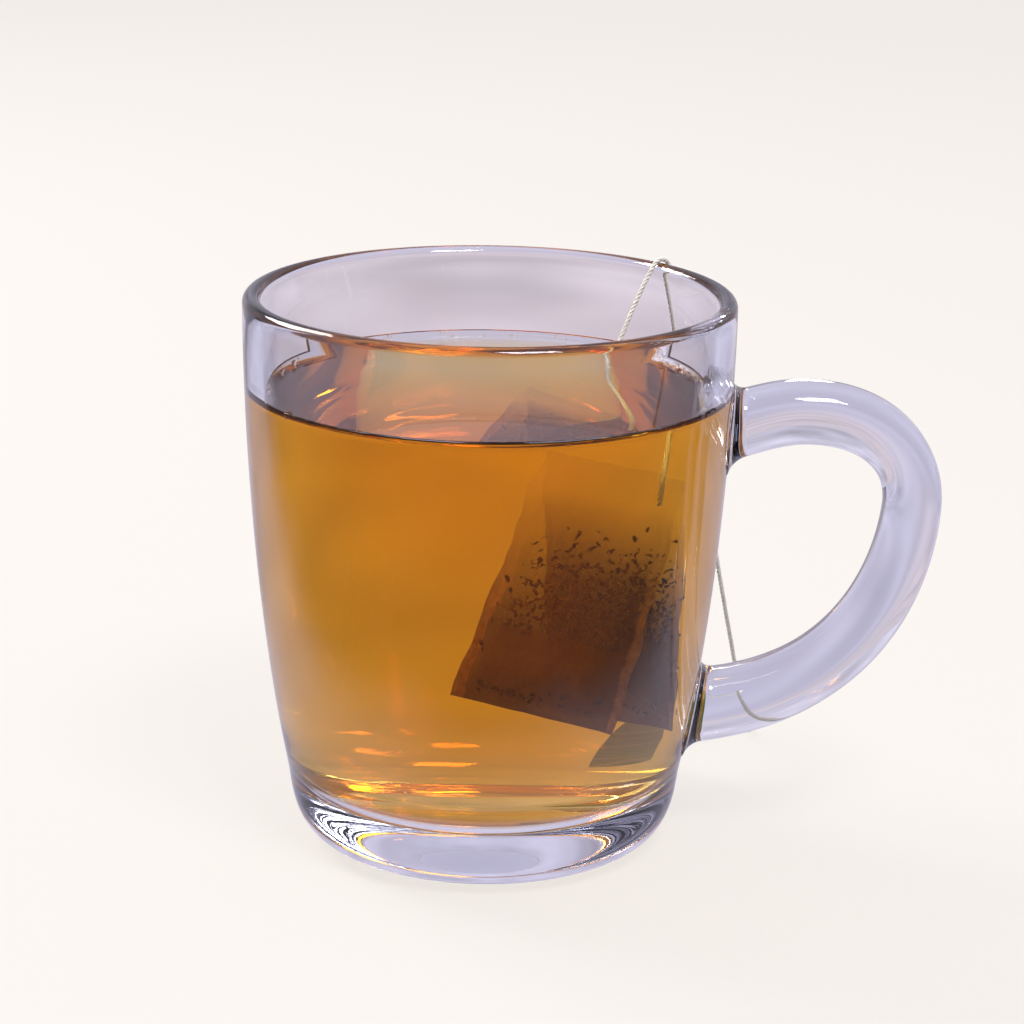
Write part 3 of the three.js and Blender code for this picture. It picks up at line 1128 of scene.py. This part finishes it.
def makeWorld():
    world = bpy.data.worlds.new("softRoom")
    scene.world = world
    world.use_nodes = True
    tree = world.node_tree
    tree.nodes.clear()
    output = addNode(tree, "ShaderNodeOutputWorld")
    parts = addNode(tree, "ShaderNodeSeparateXYZ")
    direction = addNode(tree, "ShaderNodeTexCoord").outputs["Generated"]
    feed(tree, parts.inputs[0], direction)
    # bright behind the mug and overhead, dim on the camera's side
    behind = calc(tree, "ADD", calc(tree, "MULTIPLY", parts.outputs["Y"], 0.5), 0.5)
    above = calc(tree, "MULTIPLY", calc(tree, "MAXIMUM", parts.outputs["Z"], 0.0), 0.45)
    facing = calc(tree, "ADD", behind, above)
    tones = [(0.0, (0.08, 0.075, 0.09)), (0.4, (0.22, 0.2, 0.24)), (0.75, (0.64, 0.61, 0.73))]
    sky = ramp(tree, facing, tones)
    room = addNode(tree, "ShaderNodeBackground")
    # uneven surroundings give the handle its streaks
    patches = scaled(tree, noiseOf(tree, 4.0, 2.0, coords=direction), 0.2, 1.75)
    feed(tree, room.inputs["Color"], vecCalc(tree, "SCALE", sky, scale=patches))
    room.inputs["Strength"].default_value = stageSet["room"]
    seen = addNode(tree, "ShaderNodeBackground")
    seen.inputs["Color"].default_value = (*stageSet["seen"], 1)
    pick = addNode(tree, "ShaderNodeMixShader")
    tree.links.new(cameraRay(tree), pick.inputs[0])
    tree.links.new(room.outputs[0], pick.inputs[1])
    tree.links.new(seen.outputs[0], pick.inputs[2])
    tree.links.new(pick.outputs[0], output.inputs["Surface"])


def makeSoftbox(name, place, target, size, power, colour=(1, 1, 1)):
    light = bpy.data.lights.new(name, "AREA")
    light.shape = "RECTANGLE"
    light.size, light.size_y = size
    light.energy = power
    light.color = colour
    lamp = addPiece(name, light)
    lamp.location = place
    lamp.rotation_euler = (Vector(target) - Vector(place)).to_track_quat("-Z", "Y").to_euler()
    lamp.visible_camera = False


makeFloor()
makeWorld()
makeSoftbox("windowLight", (-0.7, 0.5, 0.75), (0, 0, 0.05), (0.5, 0.5), 12.0)
makeSoftbox("fillLight", (0.22, -0.45, 0.85), (0, 0, 0.05), (0.3, 0.3), 6.0)
scene.view_settings.view_transform = "Standard"
scene.cycles.max_bounces = 16
scene.cycles.glossy_bounces = 12
scene.cycles.transmission_bounces = 16
scene.cycles.transparent_max_bounces = 32
print("stage lit")


# every piece rides on the one body, and the imported parts are hidden
for piece in (mugPiece, teaPiece, stringPiece, tagPiece, knotPiece, bubblePiece, *bagPieces):
    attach(piece, "root")
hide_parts("glass_mug")
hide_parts("tea")
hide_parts("tea_string")
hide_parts("tea_tag")
